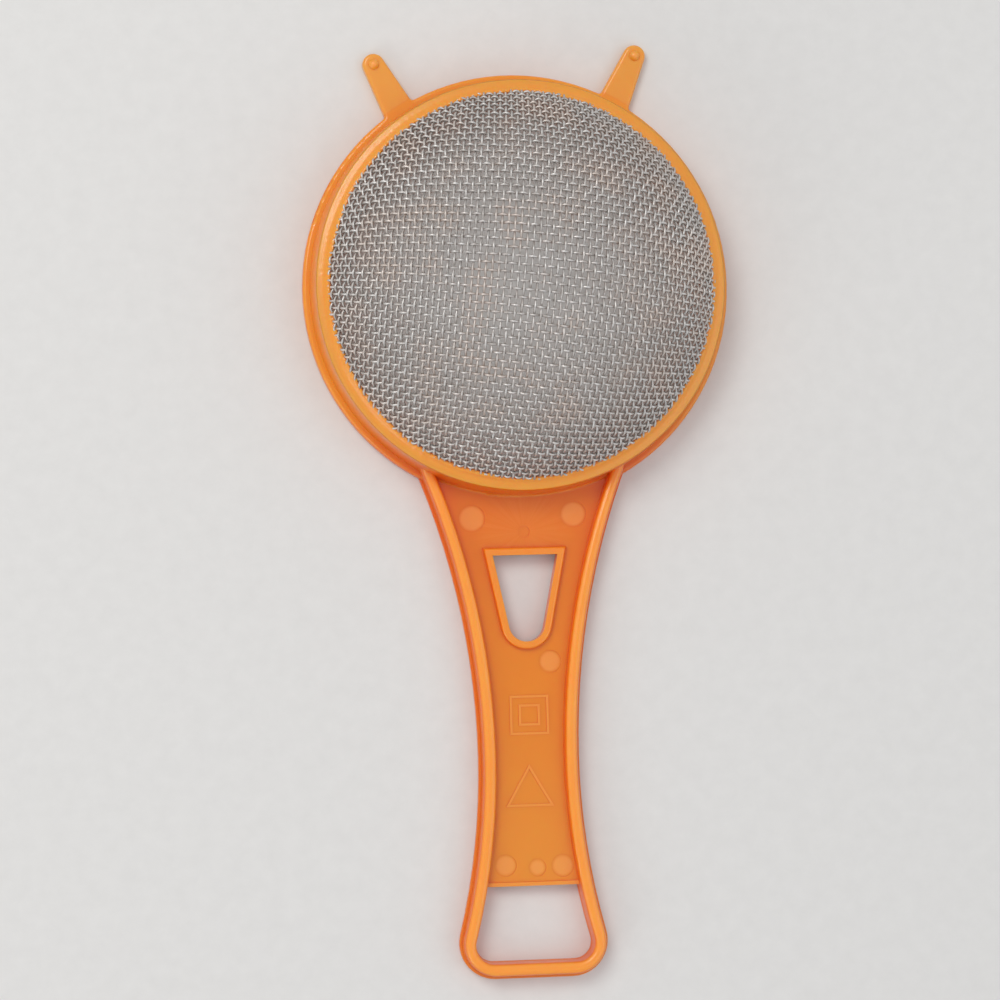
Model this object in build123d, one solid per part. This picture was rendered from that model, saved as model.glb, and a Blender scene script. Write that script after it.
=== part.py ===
from build123d import *
import math
import os

os.makedirs("parts", exist_ok=True)

# A hand-held mesh scoop: a plastic frame moulded round the edge of a domed wire cloth.
# Millimetres. The origin is the centre of the scoop's mouth, in the plane its rim rests on.
# +Z points to the crown of the dome, +Y away from the handle, towards the two ears.

# Rim
FLANGE_R = 50.4
FLANGE_THICK = 2.4
FLANGE_ROUND = 0.8
WALL_BASE_R = 48.8
WALL_TOP_R = 47.9
RIM_HEIGHT = 12.0
MOUTH_R = 46.4
LIP_INNER_R = 44.6
LEDGE_BASE_Z = 7.0
LEDGE_TOP_Z = 9.8
LEDGE_R = 46.0
LIP_ROUND = 0.9
MOUTH_ROUND = 0.4

# Wire cloth: a cap of a sphere whose centre is below the mouth
DOME_R = 51.5
CLOTH_EDGE_R = 45.4
CLOTH_TURN = -6.1
WIRE_R = 0.29
LAYER_OFFSET = 0.3
WARP_PITCH = 1.475
WEFT_PITCH = 1.87
WIRE_END_ANGLE = 64.2
SHORTEST_WIRE = 9.0
PIVOT_DEPTH = 120.0

# Groove in the lip that holds the edge of the cloth
GROOVE_HALF = 0.65
GROOVE_START_ANGLE = 56.0
GROOVE_END_ANGLE = 64.9

# Handle outline
WAIST_Y = -110.0
WAIST_HALF = 11.9
UPPER_SIDE_R = 182.0
LOWER_SIDE_R = 162.0
HANDLE_TOP_Y = -34.0
HANDLE_END_Y = -161.8
END_CORNER_R = 8.4

# A low foot all round the handle, in line with the flange. Its disc ends just inside the flange.
FOOT_WIDTH = 0.55
FOOT_HEIGHT = 1.3
FOOT_DISC_R = FLANGE_R - 0.4
JUNCTION_R = 3.4
ON_EDGE = 0.01

# Handle section: a bead all round a thinner web
BEAD_HEIGHT = 6.0
BEAD_WIDTH = 4.1
BEAD_DRAFT = 0.4
BEAD_ROUND = 1.1
OPENING_CORNER_R = 4.0
WEB_BOTTOM_Z = 1.0
WEB_TOP_Z = 3.1
WEB_END_Y = -140.2
WEB_END_BOW = 0.5
END_RIB_WIDTH = 0.9
END_RIB_RISE = 0.4
WEB_WALL_ROUND = 0.8
ROOT_SPAN = 25.5
EMBED = 1.0

# Window through the web
WINDOW_TOP_Y = -62.8
WINDOW_TOP_HALF = 7.65
WINDOW_END_Y = -83.1
WINDOW_END_HALF = 3.5
WINDOW_CORNER_R = 4.2
BORDER_WIDTH = 1.8
BORDER_RISE = 1.6
BORDER_ROUND = 0.75

# Ears and the round nubs on them
EAR_ANGLE = 29.9
EAR_LEAN = 26.4
EAR_TURN = 1.4
EAR_TIP_DISTANCE = 62.2
EAR_TIP_R = 2.6
EAR_LENGTH = 17.0
EAR_ROOT_HALF = 4.2
EAR_ROOT_R = 0.9
NUB_R = 1.3
NUB_INSET = 0.3

# Shallow round marks on the web: x, y, radius
EJECTOR_MARKS = ((-12.2, -54.0, 3.2), (11.8, -53.5, 3.1), (5.4, -87.9, 2.7),
                 (-6.4, -135.3, 2.6), (1.1, -136.0, 2.1), (7.1, -135.7, 2.7))
GATE_MARK = (0.0, -57.4, 1.4)
MARK_DEPTH = 0.22

# Raised line marks on the web
RELIEF_RISE = 0.22
RELIEF_LINE = 0.55
SQUARE_CENTRE = (0.15, -100.3)
SQUARE_SIDES = (9.2, 5.0)
TRIANGLE_CENTRE = (-0.2, -118.4)
TRIANGLE_SIDE = 11.4

dome_centre_z = RIM_HEIGHT - math.sqrt(DOME_R ** 2 - CLOTH_EDGE_R ** 2)
groove_mid_angle = (GROOVE_START_ANGLE + GROOVE_END_ANGLE) / 2


def around_dome(radius, angle):
    """A point in the rim's section, by distance and angle from the dome's centre."""
    tilt = math.radians(angle)
    return (radius * math.sin(tilt), dome_centre_z + radius * math.cos(tilt))


def rim_wall():
    """The upright ring above the flange, with a ledge inside that carries the cloth."""
    wall_top = (WALL_TOP_R, RIM_HEIGHT)
    mouth_edge = (MOUTH_R, 0)
    outline = Polyline(mouth_edge, (WALL_BASE_R, 0), (WALL_BASE_R, FLANGE_THICK), wall_top,
                       (LIP_INNER_R, RIM_HEIGHT), (LIP_INNER_R, LEDGE_TOP_Z),
                       (LEDGE_R, LEDGE_BASE_Z), close=True)
    section = make_face(outline)
    for corner, radius in ((wall_top, LIP_ROUND), (mouth_edge, MOUTH_ROUND)):
        nearest = section.vertices().sort_by_distance(Vector(*corner))[0]
        section = fillet(nearest, radius)
    return revolve(Plane.XZ * section, axis=Axis.Z)


def cloth_groove():
    """The gap between two spheres, one each side of the cloth, running into the lip."""
    inner = DOME_R - GROOVE_HALF
    outer = DOME_R + GROOVE_HALF
    outer_arc = ThreePointArc(around_dome(outer, GROOVE_START_ANGLE),
                              around_dome(outer, groove_mid_angle),
                              around_dome(outer, GROOVE_END_ANGLE))
    inner_arc = ThreePointArc(around_dome(inner, GROOVE_END_ANGLE),
                              around_dome(inner, groove_mid_angle),
                              around_dome(inner, GROOVE_START_ANGLE))
    end = Line(outer_arc @ 1, inner_arc @ 0)
    start = Line(inner_arc @ 1, outer_arc @ 0)
    section = make_face([curve.edge() for curve in (outer_arc, end, inner_arc, start)])
    return revolve(Plane.XZ * section, axis=Axis.Z)


def side_half(y, inset):
    """Half the handle's width at y, less an inset. Both sides are arcs that meet at the waist."""
    radius = UPPER_SIDE_R if y > WAIST_Y else LOWER_SIDE_R
    return WAIST_HALF - inset + radius - math.sqrt(radius ** 2 - (y - WAIST_Y) ** 2)


def handle_face(inset, end_y):
    """The area inside the handle's sides, from within the rim down to a square end."""
    def side(sign, from_y, to_y):
        heights = (from_y, (from_y + to_y) / 2, to_y)
        return ThreePointArc(*((sign * side_half(y, inset), y) for y in heights))

    turn_y = max(WAIST_Y, end_y)
    spans = [(HANDLE_TOP_Y, turn_y)]
    if end_y < WAIST_Y:
        spans.append((WAIST_Y, end_y))
    right = [side(1, *span) for span in spans]
    left = [side(-1, *span) for span in spans]
    top = Line(left[0] @ 0, right[0] @ 0)
    end = Line(right[-1] @ 1, left[-1] @ 1)
    return make_face([curve.edge() for curve in (*right, end, *left, top)])


def rounded_handle_face(inset, end_y, corner_r):
    face = handle_face(inset, end_y)
    end_corners = face.vertices().group_by(Axis.Y)[0]
    return fillet(end_corners, corner_r)


def drafted(inset, end_y, corner_r, growth):
    """A block whose outline moves in by the growth from its bottom to the bead's top."""
    bottom = rounded_handle_face(inset, end_y, corner_r)
    top = rounded_handle_face(inset + growth, end_y + growth, corner_r - growth)
    return loft([bottom, Pos(0, 0, BEAD_HEIGHT) * top], ruled=True)


def bead_loop():
    """The handle's bead, from one side of the rim round the hanging loop and back."""
    loop = drafted(FOOT_WIDTH, HANDLE_END_Y + FOOT_WIDTH, END_CORNER_R - FOOT_WIDTH, BEAD_DRAFT)
    loop -= drafted(BEAD_WIDTH, HANDLE_END_Y + BEAD_WIDTH, OPENING_CORNER_R, -BEAD_DRAFT)
    loop -= mouth_clearance()
    top = loop.faces().sort_by(Axis.Z)[-1]
    outside_rim = [edge for edge in top.edges()
                   if math.hypot(edge.center().X, edge.center().Y) > WALL_BASE_R]
    return fillet(outside_rim, BEAD_ROUND)


def ear_place(side):
    """Where an ear's round tip is. The pair is turned a little from the handle's line."""
    angle = math.radians(EAR_ANGLE)
    x = side * EAR_TIP_DISTANCE * math.sin(angle)
    y = EAR_TIP_DISTANCE * math.cos(angle)
    return Rot(0, 0, EAR_TURN) * Location((x, y, 0), (0, 0, -side * EAR_LEAN))


def ear_face(side):
    """A tab that narrows from the rim to a round tip."""
    tab = Polyline((EAR_TIP_R, 0), (-EAR_TIP_R, 0), (-EAR_ROOT_HALF, -EAR_LENGTH),
                   (EAR_ROOT_HALF, -EAR_LENGTH), close=True)
    return ear_place(side) * (Circle(EAR_TIP_R) + make_face(tab))


def disc_with(disc_r, shape, corner_r):
    """A disc with an outline added, and the inner corners between them rounded."""
    face = Circle(disc_r) + shape
    corners = [vertex for vertex in face.vertices()
               if abs(math.hypot(vertex.X, vertex.Y) - disc_r) < ON_EDGE]
    return fillet(corners, corner_r)


def mouth_clearance():
    return Cylinder((MOUTH_R + WALL_BASE_R) / 2, 4 * RIM_HEIGHT)


def flange():
    """The flange at the mouth, with the two ears."""
    outline = disc_with(FLANGE_R, ear_face(1) + ear_face(-1), EAR_ROOT_R)
    plate = level(outline, 0, FLANGE_THICK) - mouth_clearance()
    top = plate.faces().sort_by(Axis.Z)[-1]
    return fillet(top.outer_wire().edges(), FLANGE_ROUND)


def foot():
    """The handle's low foot, blended into the flange on both sides."""
    handle = rounded_handle_face(0, HANDLE_END_Y, END_CORNER_R)
    outline = disc_with(FOOT_DISC_R, handle, JUNCTION_R)
    opening = rounded_handle_face(BEAD_WIDTH, HANDLE_END_Y + BEAD_WIDTH, OPENING_CORNER_R)
    return level(outline - opening, 0, FOOT_HEIGHT) - mouth_clearance()


def nubs():
    nub = Pos(0, 0, FLANGE_THICK - NUB_INSET) * Sphere(NUB_R)
    return [ear_place(side) * nub for side in (1, -1)]


def level(face, bottom_z, top_z):
    return extrude(Pos(0, 0, bottom_z) * face, top_z - bottom_z)


def web():
    """The thin sheet inside the bead, ending in a low rib above the hanging loop."""
    spread = BEAD_WIDTH - EMBED
    far_y = WEB_END_Y + WEB_END_BOW

    def above(shift):
        bow = ThreePointArc((-FLANGE_R, far_y + shift), (0, WEB_END_Y + shift),
                            (FLANGE_R, far_y + shift))
        right = Line(bow @ 1, (FLANGE_R, 0))
        top = Line(right @ 1, (-FLANGE_R, 0))
        left = Line(top @ 1, bow @ 0)
        return make_face([curve.edge() for curve in (bow, right, top, left)])

    sheet = handle_face(spread, HANDLE_END_Y + spread) & above(0)
    rib = sheet - above(END_RIB_WIDTH)
    return level(sheet, WEB_BOTTOM_Z, WEB_TOP_Z) + level(rib, WEB_BOTTOM_Z, WEB_TOP_Z + END_RIB_RISE)


def window_face():
    outline = Polyline((WINDOW_TOP_HALF, WINDOW_TOP_Y), (-WINDOW_TOP_HALF, WINDOW_TOP_Y),
                       (-WINDOW_END_HALF, WINDOW_END_Y), (WINDOW_END_HALF, WINDOW_END_Y),
                       close=True)
    face = make_face(outline)
    return fillet(face.vertices().group_by(Axis.Y)[0], WINDOW_CORNER_R)


def window_border():
    outline = offset(window_face(), BORDER_WIDTH, kind=Kind.INTERSECTION)
    border = level(outline, WEB_BOTTOM_Z, WEB_TOP_Z + BORDER_RISE)
    return fillet(border.edges().group_by(Axis.Z)[-1], BORDER_ROUND)


def round_marks():
    """Shallow sunk discs left by the mould's ejector pins and its gate."""
    marks = []
    for x, y, radius in (*EJECTOR_MARKS, GATE_MARK):
        disc = Cylinder(radius, 2 * MARK_DEPTH)
        marks.append(Pos(x, y, WEB_TOP_Z) * disc)
    return marks


def relief_marks():
    """Two nested squares and a plain triangle, as raised lines."""
    outlines = [Pos(*SQUARE_CENTRE) * Rectangle(side, side) for side in SQUARE_SIDES]
    triangle = RegularPolygon(TRIANGLE_SIDE / math.sqrt(3), 3, rotation=90)
    outlines.append(Pos(*TRIANGLE_CENTRE) * triangle)
    marks = []
    for outline in outlines:
        line = outline - offset(outline, -RELIEF_LINE, kind=Kind.INTERSECTION)
        marks.append(level(line, WEB_TOP_Z - RELIEF_RISE, WEB_TOP_Z + RELIEF_RISE))
    return marks


def web_root():
    """The concave strip in the corner between the web and the rim's wall."""
    slope = (WALL_BASE_R - WALL_TOP_R) / (RIM_HEIGHT - FLANGE_THICK)
    wall_r = WALL_BASE_R - slope * (WEB_TOP_Z - FLANGE_THICK)
    corner = (wall_r - WEB_WALL_ROUND / 2, WEB_TOP_Z - WEB_WALL_ROUND / 2)
    out = (wall_r + WEB_WALL_ROUND, WEB_TOP_Z)
    up = (wall_r, WEB_TOP_Z + WEB_WALL_ROUND)
    reach = WEB_WALL_ROUND * (1 - math.sqrt(0.5))
    hollow = ThreePointArc(up, (wall_r + reach, WEB_TOP_Z + reach), out)
    back = Polyline(out, (out[0], corner[1]), corner, (corner[0], up[1]), up)
    section = make_face([*back.edges(), hollow.edge()])
    strip = revolve(Plane.XZ * section, axis=Axis.Z, revolution_arc=2 * ROOT_SPAN)
    return Rot(0, 0, -90 - ROOT_SPAN) * strip


def make_frame():
    panel = web() + window_border() - mouth_clearance()
    for mark in round_marks():
        panel -= mark
    for mark in relief_marks():
        panel += mark
    panel -= level(window_face(), 0, RIM_HEIGHT)
    frame = rim_wall() + flange() + foot() + bead_loop() + panel
    for nub in nubs():
        frame += nub
    return frame + web_root() - cloth_groove()


def wire(along_x, number, pitch, sphere_r):
    """One wire: an arc where a sphere meets a plane that pivots about a line under the dome.

    The wires are evenly spaced over the crown, and each ends at the same angle from it.
    """
    lean = number * pitch / DOME_R
    tilt = math.atan2(DOME_R * math.sin(lean), DOME_R * math.cos(lean) + PIVOT_DEPTH)
    plane_distance = PIVOT_DEPTH * math.sin(tilt)
    arc_r = math.sqrt(sphere_r ** 2 - plane_distance ** 2)
    end_height = sphere_r * math.cos(math.radians(WIRE_END_ANGLE))
    end_cosine = (end_height + plane_distance * math.sin(tilt)) / (arc_r * math.cos(tilt))
    if end_cosine >= 1:
        return None
    sweep_angle = math.acos(end_cosine)
    if 2 * sweep_angle * arc_r < SHORTEST_WIRE:
        return None

    def point(angle):
        along = arc_r * math.sin(angle)
        across = plane_distance * math.cos(tilt) + arc_r * math.sin(tilt) * math.cos(angle)
        height = arc_r * math.cos(tilt) * math.cos(angle) - plane_distance * math.sin(tilt)
        plan = (along, across) if along_x else (across, along)
        return Vector(*plan, height + dome_centre_z)

    path = ThreePointArc(point(-sweep_angle), point(0), point(sweep_angle))
    return sweep(Plane(path @ 0, z_dir=path % 0) * Circle(WIRE_R), path=path)


def export_wires(name, along_x, pitch, sphere_r, numbers):
    """Write wires of one direction as separate solids, turned to the cloth's own angle."""
    found = [wire(along_x, number, pitch, sphere_r) for number in numbers]
    solids = [piece.solid() for piece in found if piece is not None]
    export_step(Rot(0, 0, CLOTH_TURN) * Compound(children=solids), f"parts/{name}.step")


warp_r = DOME_R + LAYER_OFFSET
weft_r = DOME_R - LAYER_OFFSET
most_wires = math.ceil(math.radians(WIRE_END_ANGLE) * DOME_R / WARP_PITCH)

export_step(make_frame(), "parts/moulded_frame.step")
export_wires("warp_wires_left", False, WARP_PITCH, warp_r, range(-most_wires, 0))
export_wires("warp_wires_right", False, WARP_PITCH, warp_r, range(0, most_wires))
export_wires("weft_wires_handle_side", True, WEFT_PITCH, weft_r, range(-most_wires, 0))
export_wires("weft_wires_ear_side", True, WEFT_PITCH, weft_r, range(0, most_wires))
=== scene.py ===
import math

import bpy
import numpy as np
from mathutils import Matrix, Vector, noise


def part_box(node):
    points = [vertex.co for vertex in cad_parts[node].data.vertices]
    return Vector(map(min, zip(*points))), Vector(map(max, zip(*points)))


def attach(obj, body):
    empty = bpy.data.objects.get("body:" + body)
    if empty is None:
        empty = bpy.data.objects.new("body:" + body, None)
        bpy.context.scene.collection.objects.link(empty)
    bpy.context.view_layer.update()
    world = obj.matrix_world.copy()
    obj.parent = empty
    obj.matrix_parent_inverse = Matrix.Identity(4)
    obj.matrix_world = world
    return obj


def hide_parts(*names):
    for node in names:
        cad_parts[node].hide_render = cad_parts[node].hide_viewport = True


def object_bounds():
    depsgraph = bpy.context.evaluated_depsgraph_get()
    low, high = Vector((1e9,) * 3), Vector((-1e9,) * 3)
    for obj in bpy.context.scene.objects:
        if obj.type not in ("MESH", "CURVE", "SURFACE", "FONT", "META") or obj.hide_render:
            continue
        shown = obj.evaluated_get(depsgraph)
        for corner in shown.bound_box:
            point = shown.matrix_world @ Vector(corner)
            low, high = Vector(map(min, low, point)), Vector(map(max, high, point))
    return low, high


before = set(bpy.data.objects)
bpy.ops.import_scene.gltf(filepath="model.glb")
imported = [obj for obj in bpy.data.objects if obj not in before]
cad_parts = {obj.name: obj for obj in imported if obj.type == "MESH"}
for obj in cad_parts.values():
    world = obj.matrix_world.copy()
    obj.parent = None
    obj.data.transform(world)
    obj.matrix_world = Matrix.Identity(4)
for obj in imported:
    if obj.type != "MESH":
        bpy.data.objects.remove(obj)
cad_low, cad_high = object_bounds()

# A mesh scoop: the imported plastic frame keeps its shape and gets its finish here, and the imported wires, which
# are smooth arcs, are replaced by wires that weave over and under one another. Metres.
MM = 0.001

# The cloth follows a sphere. Each wire lies in a plane that pivots about a line below the sphere's centre.
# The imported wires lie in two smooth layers, one just outside the sphere and one just inside it.
DOME_R = 51.5 * MM
PIVOT_DEPTH = 120 * MM
WIRE_R = 0.29 * MM
CRIMP = 1.05 * WIRE_R
LAYER_OFFSET = 0.3 * MM
WARP_PITCH = 1.475 * MM
WEFT_PITCH = 1.87 * MM
CLOTH_TURN = math.radians(-6.1)
CLOTH_END = math.radians(64.2)
SHORTEST_WIRE = 9 * MM

# How finely a wire is drawn: steps from one crossing to the next, the least share of a step that may be left
# before its end, and the sides of its section. Then the size and spread of the dents in the cloth
STEPS_PER_CROSSING = 6
SHORTEST_STEP = 0.2
WIRE_SIDES = 6
RIPPLE = 0.16 * MM
RIPPLE_SIZE = 14 * MM
RIPPLE_SEED = 5

# The plastic that closes over the cloth's edge: degrees outwards from where the cloth meets the top of
# the lip, millimetres outwards from the sphere
FLASH_SECTION = ((1.6, -0.68), (-0.5, -0.68), (-0.9, -0.42), (-1.2, -0.16), (-1.3, 0.03),
                 (-1.2, 0.26), (-0.9, 0.5), (-0.5, 0.66), (0.0, 0.78), (0.6, 1.25), (0.9, 1.6),
                 (1.2, 2.0), (1.6, 2.2))
FLASH_ROOT = FLASH_SECTION[0][0]
FLASH_REACH = 2.8
FLASH_STEPS = 900
FLASH_UNEVEN = 0.62
FLASH_TOOTH = 0.9 * MM
FLASH_WANDER = 9 * MM

# Where the plastic entered the mould. Then the round marks of the pins that pushed the part out of it: x, y
# and radius in millimetres
WEB_TOP_Z = 3.1 * MM
GATE_PLACE = (0.0, -57.4 * MM, WEB_TOP_Z)
GATE_REACH = 26 * MM
PIN_MARKS = ((-12.2, -54.0, 3.2), (11.8, -53.5, 3.1), (5.4, -87.9, 2.7),
             (-6.4, -135.3, 2.6), (1.1, -136.0, 2.1), (7.1, -135.7, 2.7))
MARK_SOFTNESS = 0.9 * MM

# Heights of the raised lines above the web, from where the painted highlight on their tops starts to where it
# stops, and the heights between which the tops of the beads and the lip get a yellower painted highlight. Then
# the reach of the painted shade in corners
RELIEF_HIGHLIGHT_FROM = (0.08 * MM, 0.2 * MM)
RELIEF_ENDS = (0.5 * MM, 0.35 * MM)
TOP_HIGHLIGHT_HEIGHTS = (3.9 * MM, 5.4 * MM)
CORNER_REACH = 5 * MM

# Where the plastic changes colour: the ring's outside, the start of the ears, the part of the ring that the
# handle meets, and the web's two ends: paler towards its far end, and redder with painted shade near the ring
RING_R = 50.7 * MM
RING_FADE = 0.6 * MM
EARS_FROM_Y = 20 * MM
EARS_FADE = 4 * MM
HANDLE_MEETS_FROM = -22 * MM
HANDLE_MEETS_AT = -46 * MM
WEB_PALES_FROM = -88 * MM
WEB_PALE_AT = -138 * MM
WEB_SHADE_FROM = -80 * MM
WEB_SHADE_AT = -52 * MM

# The camera, looking almost straight down, and turned so that the handle points down
VIEW_TARGET = Vector((-4.98, -49.69, 0.0)) * MM
VIEW_AZIMUTH = math.radians(-76.375)
VIEW_ELEVATION = math.radians(82.462)
VIEW_ROLL = math.radians(74.925)
VIEW_DISTANCE = 905.8 * MM
SENSOR = 36.0
LENS = 138.585

dome_centre_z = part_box("warp_wires_right")[1].z - WIRE_R - LAYER_OFFSET - DOME_R
lip_angle = math.acos((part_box("moulded_frame")[1].z - dome_centre_z) / DOME_R)


# ---------------------------------------------------------------- materials

class Nodes:
    """A material's node tree, with a short way to add a node and link its inputs."""

    def __init__(self, name):
        self.material = bpy.data.materials.new(name)
        self.material.use_nodes = True
        self.tree = self.material.node_tree
        self.tree.nodes.clear()

    def add(self, kind, inputs=None, **settings):
        node = self.tree.nodes.new("ShaderNode" + kind)
        for name, value in settings.items():
            setattr(node, name, value)
        for name, value in (inputs or {}).items():
            socket = node.inputs[name]
            if isinstance(value, bpy.types.NodeSocket):
                self.tree.links.new(value, socket)
            else:
                socket.default_value = value
        return node

    def math(self, operation, first, second=0.0):
        return self.add("Math", {0: first, 1: second}, operation=operation).outputs[0]

    def ramp(self, value, low, high, to_low=0.0, to_high=1.0):
        node = self.add("MapRange", {"Value": value, "From Min": low, "From Max": high,
                                     "To Min": to_low, "To Max": to_high},
                        interpolation_type="SMOOTHSTEP")
        return node.outputs["Result"]

    def noise(self, place, scale, detail=3.0, rough=0.5, distortion=0.0):
        node = self.add("TexNoise", {"Vector": place, "Scale": scale, "Detail": detail,
                                     "Roughness": rough, "Distortion": distortion})
        return node.outputs["Fac"]

    def stretched(self, place, scale):
        return self.add("Mapping", {"Vector": place, "Scale": scale}).outputs["Vector"]

    def mix(self, factor, first, second):
        node = self.add("Mix", data_type="RGBA")
        for index, value in ((0, factor), (6, first), (7, second)):
            if isinstance(value, bpy.types.NodeSocket):
                self.tree.links.new(value, node.inputs[index])
            else:
                node.inputs[index].default_value = value
        return node.outputs[2]

    def bump(self, height, distance, normal=None):
        inputs = {"Height": height, "Distance": distance, "Strength": 1.0}
        if normal is not None:
            inputs["Normal"] = normal
        return self.add("Bump", inputs).outputs["Normal"]

    def output(self, shader):
        self.add("OutputMaterial", {"Surface": shader})
        return self.material


def rgb(red, green, blue):
    """A colour given as screen values from 0 to 255, as the linear colour that shaders use."""
    def linear(value):
        share = value / 255
        return share / 12.92 if share <= 0.04045 else ((share + 0.055) / 1.055) ** 2.4
    return (linear(red), linear(green), linear(blue), 1.0)


def pin_discs(nodes, place):
    """One inside the round marks that the pins left, nought elsewhere."""
    marks = 0.0
    for x, y, radius in PIN_MARKS:
        centre = (x * MM, y * MM, WEB_TOP_Z)
        away = nodes.add("VectorMath", {0: place, 1: centre}, operation="DISTANCE").outputs["Value"]
        disc = nodes.ramp(away, radius * MM, radius * MM - MARK_SOFTNESS)
        marks = nodes.math("MAXIMUM", disc, marks)
    return marks


def gate_rays(nodes, place):
    """Pale rays that spread from where the plastic entered the mould."""
    offset = nodes.add("VectorMath", {0: place, 1: GATE_PLACE}, operation="SUBTRACT").outputs[0]
    way = nodes.add("VectorMath", {0: offset}, operation="NORMALIZE").outputs[0]
    away = nodes.add("VectorMath", {0: offset}, operation="LENGTH").outputs["Value"]
    near = nodes.ramp(away, 3 * MM, GATE_REACH, 1.0, 0.0)
    return nodes.math("MULTIPLY", nodes.noise(way, 7.0, detail=4.0, rough=0.7), near)


def plastic_colour(nodes, place, lit_facing_up, corner, mottle):
    """Pale on the ring and ears, with painted light: darker steep walls, redder on the handle's walls, a yellower
    highlight on the tops of the beads and the lip, and redder shade in corners and on the web near the ring.
    """
    axes = nodes.add("SeparateXYZ", {"Vector": place}).outputs
    flat = nodes.add("VectorMath", {0: place, 1: (1, 1, 0)}, operation="MULTIPLY").outputs[0]
    from_middle = nodes.add("VectorMath", {0: flat}, operation="LENGTH").outputs["Value"]
    on_ring = nodes.ramp(from_middle, RING_R + RING_FADE, RING_R)
    at_handle = nodes.ramp(axes["Y"], HANDLE_MEETS_FROM, HANDLE_MEETS_AT)
    pale_ring = nodes.math("MULTIPLY", on_ring, nodes.math("SUBTRACT", 1.0, at_handle))
    on_ear = nodes.math("MULTIPLY", nodes.ramp(axes["Y"], EARS_FROM_Y, EARS_FROM_Y + EARS_FADE),
                        nodes.math("SUBTRACT", 1.0, on_ring))
    # Painted highlight: the tops of the beads and the lip, where they face up, take a yellower colour
    painted_top_highlight = nodes.math("MULTIPLY", nodes.ramp(axes["Z"], *TOP_HIGHLIGHT_HEIGHTS),
                        nodes.math("POWER", lit_facing_up, 4.0))
    towards_end = nodes.ramp(axes["Y"], WEB_PALES_FROM, WEB_PALE_AT)
    # Painted shade: the web turns redder towards the ring, where less light reaches it
    ring_shade_on_web = nodes.ramp(axes["Y"], WEB_SHADE_FROM, WEB_SHADE_AT)

    # Painted shade: the wall colours are darker and redder than those of the faces that look up
    shaded_handle_wall = nodes.mix(mottle, rgb(226, 98, 8), rgb(233, 112, 16))
    shaded_ring_wall = nodes.mix(mottle, rgb(230, 122, 16), rgb(236, 134, 26))
    web = nodes.mix(mottle, rgb(227, 126, 8), rgb(234, 138, 12))
    web = nodes.mix(nodes.math("MULTIPLY", towards_end, 0.6), web, rgb(232, 148, 40))
    # The redder colour of the painted shade on the web near the ring
    web = nodes.mix(nodes.math("MULTIPLY", ring_shade_on_web, 0.6), web, rgb(226, 106, 6))
    flange = nodes.mix(mottle, rgb(232, 144, 20), rgb(238, 156, 34))
    ear = nodes.mix(mottle, rgb(230, 152, 48), rgb(236, 162, 60))
    # The colour of the painted highlight on the tops of the beads and the lip
    top_highlight_colour = nodes.mix(mottle, rgb(246, 150, 44), rgb(250, 162, 56))

    shaded_wall = nodes.mix(pale_ring, shaded_handle_wall, shaded_ring_wall)
    sheet = nodes.mix(pale_ring, web, flange)
    colour = nodes.mix(lit_facing_up, shaded_wall, sheet)
    colour = nodes.mix(painted_top_highlight, colour, top_highlight_colour)
    colour = nodes.mix(on_ear, colour, ear)
    pale = nodes.math("MAXIMUM", pale_ring, on_ear)
    # Painted shade: corners that the occlusion finds hidden are painted redder, less so on the pale ring and ears
    corner_shade_amount = nodes.math("MULTIPLY", corner, nodes.ramp(pale, 0.0, 1.0, 0.45, 0.12))
    return nodes.mix(corner_shade_amount, colour, rgb(228, 72, 8))


def plastic_material():
    """Translucent orange polypropylene, a little uneven and lightly scuffed."""
    nodes = Nodes("orange_polypropylene")
    place = nodes.add("TexCoord").outputs["Object"]
    geometry = nodes.add("NewGeometry")
    height = nodes.add("SeparateXYZ", {"Vector": place}).outputs["Z"]
    facing_up = nodes.add("SeparateXYZ", {"Vector": geometry.outputs["Normal"]}).outputs["Z"]
    # Painted shade: how hidden each point is from open space sets the redder colour painted into corners
    open_sky = nodes.add("AmbientOcclusion", {"Distance": CORNER_REACH}, samples=12).outputs["AO"]
    corner = nodes.ramp(open_sky, 0.3, 0.9, 1.0, 0.0)
    # Painted light: faces that look up get the lit colours and the highlights, and steep faces get the shaded
    # wall colours
    lit_facing_up = nodes.ramp(facing_up, 0.15, 0.9)
    mottle = nodes.noise(place, 70, detail=4.0, rough=0.6, distortion=0.6)

    rays = gate_rays(nodes, place)
    over_web = nodes.math("SUBTRACT", height, WEB_TOP_Z)
    # Painted highlight: the upward tops of the raised lines are painted paler
    on_lines = nodes.math("MULTIPLY", nodes.ramp(over_web, *RELIEF_HIGHLIGHT_FROM), nodes.ramp(over_web, *RELIEF_ENDS))
    relief_highlight = nodes.math("MULTIPLY", on_lines, lit_facing_up)
    colour = plastic_colour(nodes, place, lit_facing_up, corner, mottle)
    colour = nodes.mix(nodes.math("MULTIPLY", pin_discs(nodes, place), 0.45), colour, rgb(250, 168, 88))
    colour = nodes.mix(nodes.math("MULTIPLY", relief_highlight, 0.5), colour, rgb(245, 160, 70))
    colour = nodes.mix(nodes.math("MULTIPLY", nodes.ramp(rays, 0.3, 0.6), 0.12), colour,
                       rgb(250, 168, 84))

    scuffs = nodes.noise(nodes.stretched(place, (900, 160, 500)), 1.0, detail=6.0, rough=0.7)
    roughness = nodes.ramp(scuffs, 0.25, 0.8, 0.28, 0.36)
    waves = nodes.bump(nodes.noise(place, 90, detail=1.0), 0.07 * MM)
    flow = nodes.bump(rays, 0.008 * MM, waves)
    grain = nodes.bump(nodes.noise(place, 2600, detail=2.0), 0.008 * MM, flow)
    shader = nodes.add("BsdfPrincipled", {
        "Base Color": colour, "Roughness": roughness, "IOR": 1.49, "Normal": grain,
        "Subsurface Weight": 0.55, "Subsurface Radius": (1.0, 0.36, 0.08), "Subsurface Scale": 2.2 * MM,
        "Coat Weight": 0.3, "Coat Roughness": 0.1})
    return nodes.output(shader.outputs["BSDF"])


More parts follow.
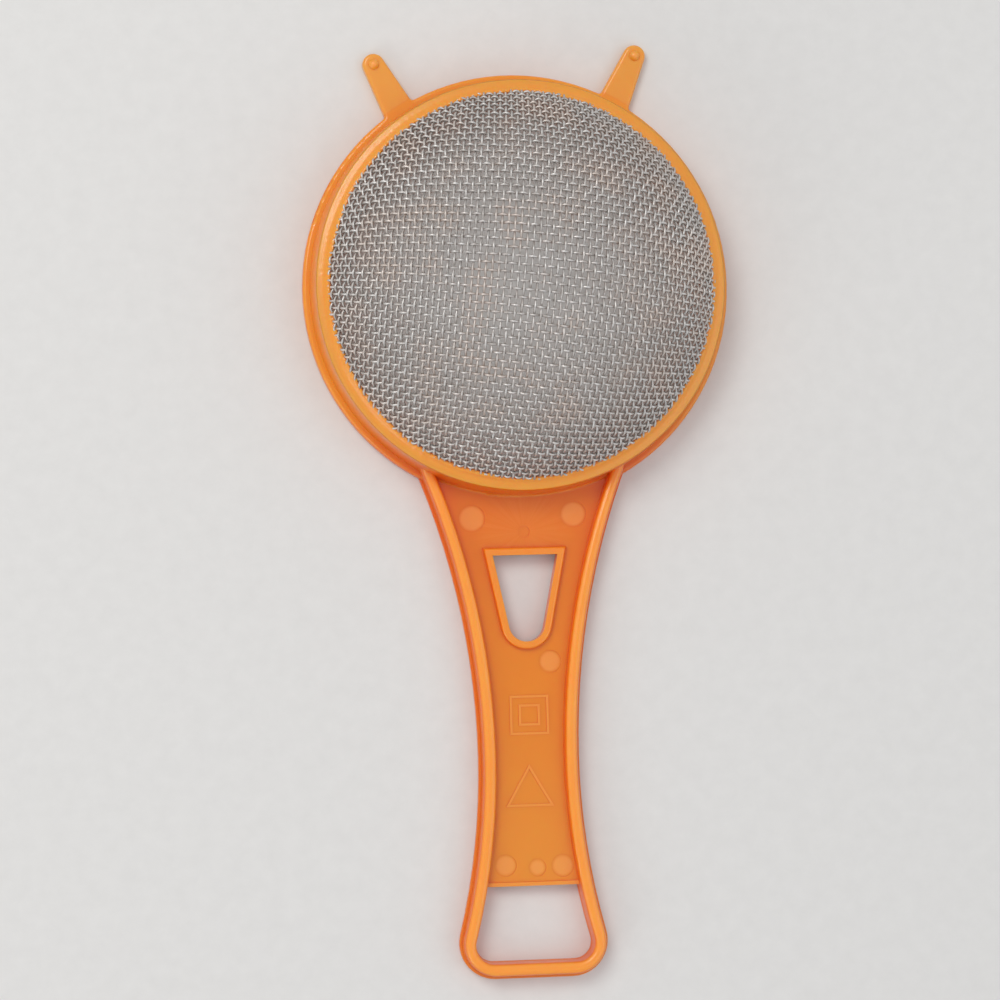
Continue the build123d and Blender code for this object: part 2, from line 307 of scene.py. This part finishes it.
def steel_material(name, brightness):
    """Bright drawn wire, finely rough, with duller spots and a little colour from handling."""
    nodes = Nodes(name)
    place = nodes.add("TexCoord").outputs["Object"]
    spots = nodes.noise(place, 900, detail=4.0, rough=0.65)
    patches = nodes.noise(place, 110, detail=3.0)
    bright = rgb(*(brightness * share for share in (1.0, 0.985, 0.965)))
    dull = rgb(*(brightness * share for share in (0.80, 0.77, 0.74)))
    warm = rgb(*(brightness * share for share in (0.98, 0.90, 0.84)))
    colour = nodes.mix(nodes.ramp(spots, 0.35, 0.7), bright, dull)
    colour = nodes.mix(nodes.math("MULTIPLY", nodes.ramp(patches, 0.45, 0.7), 0.5), colour, warm)
    roughness = nodes.ramp(spots, 0.3, 0.75, 0.42, 0.58)
    drawn = nodes.bump(nodes.noise(place, 7000, detail=2.0), 0.006 * MM)
    shader = nodes.add("BsdfPrincipled", {"Base Color": colour, "Metallic": 0.78,
                                          "Roughness": roughness, "Normal": drawn})
    return nodes.output(shader.outputs["BSDF"])


def floor_material():
    nodes = Nodes("pale_floor")
    place = nodes.add("TexCoord").outputs["Object"]
    fibres = nodes.noise(place, 240, detail=5.0, rough=0.6)
    colour = nodes.mix(fibres, rgb(214, 212, 208), rgb(224, 222, 218))
    shader = nodes.add("BsdfPrincipled", {"Base Color": colour, "Roughness": 0.75,
                                          "Normal": nodes.bump(fibres, 0.03 * MM)})
    return nodes.output(shader.outputs["BSDF"])


# ---------------------------------------------------------------- woven cloth

def plane_slope(number, pitch):
    """How far a wire's plane leans, as across over up, for wires evenly spaced at the crown."""
    turn = number * pitch / DOME_R
    return DOME_R * np.sin(turn) / (DOME_R * np.cos(turn) + PIVOT_DEPTH)


def number_at_slope(slope, pitch):
    """The wire number, whole or not, whose plane has that slope."""
    lift = slope * PIVOT_DEPTH / (DOME_R * math.sqrt(1 + slope ** 2))
    return (math.atan(slope) + math.asin(lift)) * DOME_R / pitch


def on_dome(warp_slope, weft_slope):
    """Where a warp's plane, a weft's plane and the sphere meet, from the sphere's centre."""
    spread = warp_slope ** 2 + weft_slope ** 2
    inside = (spread * PIVOT_DEPTH) ** 2 - (1 + spread) * (spread * PIVOT_DEPTH ** 2 - DOME_R ** 2)
    z = (np.sqrt(inside) - spread * PIVOT_DEPTH) / (1 + spread)
    return np.stack([(z + PIVOT_DEPTH) * warp_slope, (z + PIVOT_DEPTH) * weft_slope, z], axis=-1)


def ripple(points):
    """Small slow dents and drifts, as a pressed cloth has, the same for both directions."""
    moved = points.copy()
    for index, point in enumerate(points):
        where = Vector(point) / RIPPLE_SIZE
        moved[index] += np.array(noise.noise_vector(where)) * RIPPLE
    return moved


def wire_path(is_warp, number, pitch, cross_pitch):
    """The centre line of one wire, weaving over and under those it crosses, or None if it is short.

    It has a point at the top of every bend, where crossing wires come closest.
    """
    slope = float(plane_slope(number, pitch))
    end_z = DOME_R * math.cos(CLOTH_END)
    across = (end_z + PIVOT_DEPTH) * slope
    left = DOME_R ** 2 - end_z ** 2 - across ** 2
    if left < (SHORTEST_WIRE / 2) ** 2:
        return None
    last = number_at_slope(math.sqrt(left) / (end_z + PIVOT_DEPTH), cross_pitch)
    steps = math.floor(last * STEPS_PER_CROSSING - SHORTEST_STEP)
    inner = np.arange(-steps, steps + 1) / STEPS_PER_CROSSING
    crossings = np.concatenate([[-last], inner, [last]])
    cross_slopes = plane_slope(crossings, cross_pitch)
    own_slopes = np.full_like(cross_slopes, slope)
    points = on_dome(own_slopes, cross_slopes) if is_warp else on_dome(cross_slopes, own_slopes)
    side = 1 if is_warp else -1
    lift = side * CRIMP * np.cos(np.pi * (crossings + number))
    return ripple(points * (1 + lift / DOME_R)[:, None])


def tube(path):
    """Rings of points round a path, one row for each point of the path."""
    ahead = np.gradient(path, axis=0)
    ahead /= np.linalg.norm(ahead, axis=1, keepdims=True)
    sideways = np.cross(ahead, path)
    sideways /= np.linalg.norm(sideways, axis=1, keepdims=True)
    up = np.cross(sideways, ahead)
    turns = np.linspace(0, 2 * np.pi, WIRE_SIDES, endpoint=False)
    ring = np.cos(turns)[None, :, None] * up[:, None] + np.sin(turns)[None, :, None] * sideways[:, None]
    return path[:, None] + WIRE_R * ring


def mesh_piece(name, points, faces, material):
    mesh = bpy.data.meshes.new(name)
    mesh.from_pydata(points.tolist(), [], faces)
    mesh.validate()
    mesh.shade_smooth()
    mesh.materials.append(material)
    piece = bpy.data.objects.new(name, mesh)
    bpy.context.scene.collection.objects.link(piece)
    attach(piece, "root")
    return piece


def woven_wires(name, is_warp, pitch, cross_pitch, numbers, material):
    """One piece holding the wires of one direction on one half of the dome, each a closed tube."""
    points, faces, start = [], [], 0
    for number in numbers:
        path = wire_path(is_warp, number, pitch, cross_pitch)
        if path is None:
            continue
        rings = tube(path)
        count = len(path)
        for row in range(count - 1):
            for side in range(WIRE_SIDES):
                after = (side + 1) % WIRE_SIDES
                low, high = start + row * WIRE_SIDES, start + (row + 1) * WIRE_SIDES
                faces.append((low + side, high + side, high + after, low + after))
        last = start + (count - 1) * WIRE_SIDES
        faces.append(tuple(range(start, start + WIRE_SIDES)))
        faces.append(tuple(reversed(range(last, last + WIRE_SIDES))))
        points.append(rings.reshape(-1, 3))
        start += count * WIRE_SIDES
    return mesh_piece(name, placed(np.concatenate(points)), faces, material)


def placed(points):
    """Points about the sphere's centre, turned to the cloth's own angle and put in the frame."""
    turn = np.array(Matrix.Rotation(CLOTH_TURN, 3, "Z"))
    return points @ turn.T + np.array((0, 0, dome_centre_z))


def make_cloth():
    noise.seed_set(RIPPLE_SEED)
    warp_steel = steel_material("warp_steel", 216)
    weft_steel = steel_material("weft_steel", 222)
    most = math.ceil(CLOTH_END * DOME_R / WARP_PITCH)
    below, above = range(-most, 0), range(0, most)
    for node, is_warp, numbers in (("warp_wires_left", True, below), ("warp_wires_right", True, above),
                                   ("weft_wires_handle_side", False, below),
                                   ("weft_wires_ear_side", False, above)):
        pitch, cross_pitch = (WARP_PITCH, WEFT_PITCH) if is_warp else (WEFT_PITCH, WARP_PITCH)
        material = warp_steel if is_warp else weft_steel
        piece = woven_wires("woven_" + node, is_warp, pitch, cross_pitch, numbers, material)
        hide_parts(node)


def make_flash(material):
    """The uneven edge of the plastic that closes over the cloth inside the lip."""
    points = []
    for step in range(FLASH_STEPS):
        round_angle = 2 * math.pi * step / FLASH_STEPS
        edge = Vector((math.cos(round_angle), math.sin(round_angle), 0)) * DOME_R
        for angle, distance in FLASH_SECTION:
            side = 1 if distance > 0 else 2
            slow = noise.noise(edge / FLASH_WANDER + Vector((0, 0, side)))
            quick = noise.noise(edge / FLASH_TOOTH + Vector((0, 0, 7 * side)))
            free = ((FLASH_ROOT - angle) / FLASH_REACH) ** 2
            tilt = lip_angle + math.radians(angle - FLASH_UNEVEN * free * (slow + 0.7 * quick))
            radius = DOME_R + distance * MM
            points.append((radius * math.sin(tilt) * math.cos(round_angle),
                           radius * math.sin(tilt) * math.sin(round_angle),
                           dome_centre_z + radius * math.cos(tilt)))
    size = len(FLASH_SECTION)
    faces = []
    for step in range(FLASH_STEPS):
        here, there = step * size, (step + 1) % FLASH_STEPS * size
        for side in range(size):
            after = (side + 1) % size
            faces.append((here + side, here + after, there + after, there + side))
    return mesh_piece("lip_flash", np.array(points), faces, material)


# ---------------------------------------------------------------- stage, lights, camera

def make_floor():
    reach = 4.0
    mesh = bpy.data.meshes.new("floor")
    corners = [(-reach, -reach, 0), (reach, -reach, 0), (reach, reach, 0), (-reach, reach, 0)]
    mesh.from_pydata(corners, [], [(0, 1, 2, 3)])
    mesh.materials.append(floor_material())
    floor = bpy.data.objects.new("floor", mesh)
    floor.location.z = cad_low.z - 0.05 * MM
    bpy.context.scene.collection.objects.link(floor)


def add_light(name, place, target, size, power, colour=(1.0, 1.0, 1.0)):
    data = bpy.data.lights.new(name, "AREA")
    data.shape = "RECTANGLE"
    data.size, data.size_y = size
    data.energy = power
    data.color = colour
    light = bpy.data.objects.new(name, data)
    light.location = place
    light.rotation_mode = "QUATERNION"
    light.rotation_quaternion = (Vector(target) - Vector(place)).to_track_quat("-Z", "Y")
    bpy.context.scene.collection.objects.link(light)


def make_lights():
    middle = (cad_low + cad_high) / 2
    add_light("key", (-0.45, 0.45, 0.95), middle, (0.55, 0.55), 5.0, (1.0, 0.985, 0.96))
    add_light("fill", (0.65, -0.25, 0.75), middle, (0.8, 0.8), 1.5, (0.97, 0.985, 1.0))
    add_light("low_side", (-0.6, -0.5, 0.35), middle, (0.5, 0.3), 1.0)
    world = bpy.data.worlds.new("studio")
    world.use_nodes = True
    background = world.node_tree.nodes["Background"]
    background.inputs["Color"].default_value = (0.93, 0.95, 1.0, 1.0)
    background.inputs["Strength"].default_value = 0.62
    bpy.context.scene.world = world


def make_camera():
    away = Vector((math.cos(VIEW_ELEVATION) * math.sin(VIEW_AZIMUTH),
                   -math.cos(VIEW_ELEVATION) * math.cos(VIEW_AZIMUTH), math.sin(VIEW_ELEVATION)))
    level_right = (-away).cross(Vector((0, 0, 1))).normalized()
    level_up = level_right.cross(-away)
    right = math.cos(VIEW_ROLL) * level_right + math.sin(VIEW_ROLL) * level_up
    up = math.cos(VIEW_ROLL) * level_up - math.sin(VIEW_ROLL) * level_right
    data = bpy.data.cameras.new("camera")
    data.sensor_width = SENSOR
    data.lens = LENS
    data.clip_start = 0.01
    camera = bpy.data.objects.new("camera", data)
    camera.matrix_world = (Matrix.Translation(VIEW_TARGET + away * VIEW_DISTANCE)
                           @ Matrix((right, up, away)).transposed().to_4x4())
    bpy.context.scene.collection.objects.link(camera)
    bpy.context.scene.camera = camera


plastic = plastic_material()
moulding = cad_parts["moulded_frame"]
moulding.data.materials.clear()
moulding.data.materials.append(plastic)
make_cloth()
make_flash(plastic)
make_floor()
make_lights()
make_camera()
bpy.context.scene.view_settings.view_transform = "Standard"
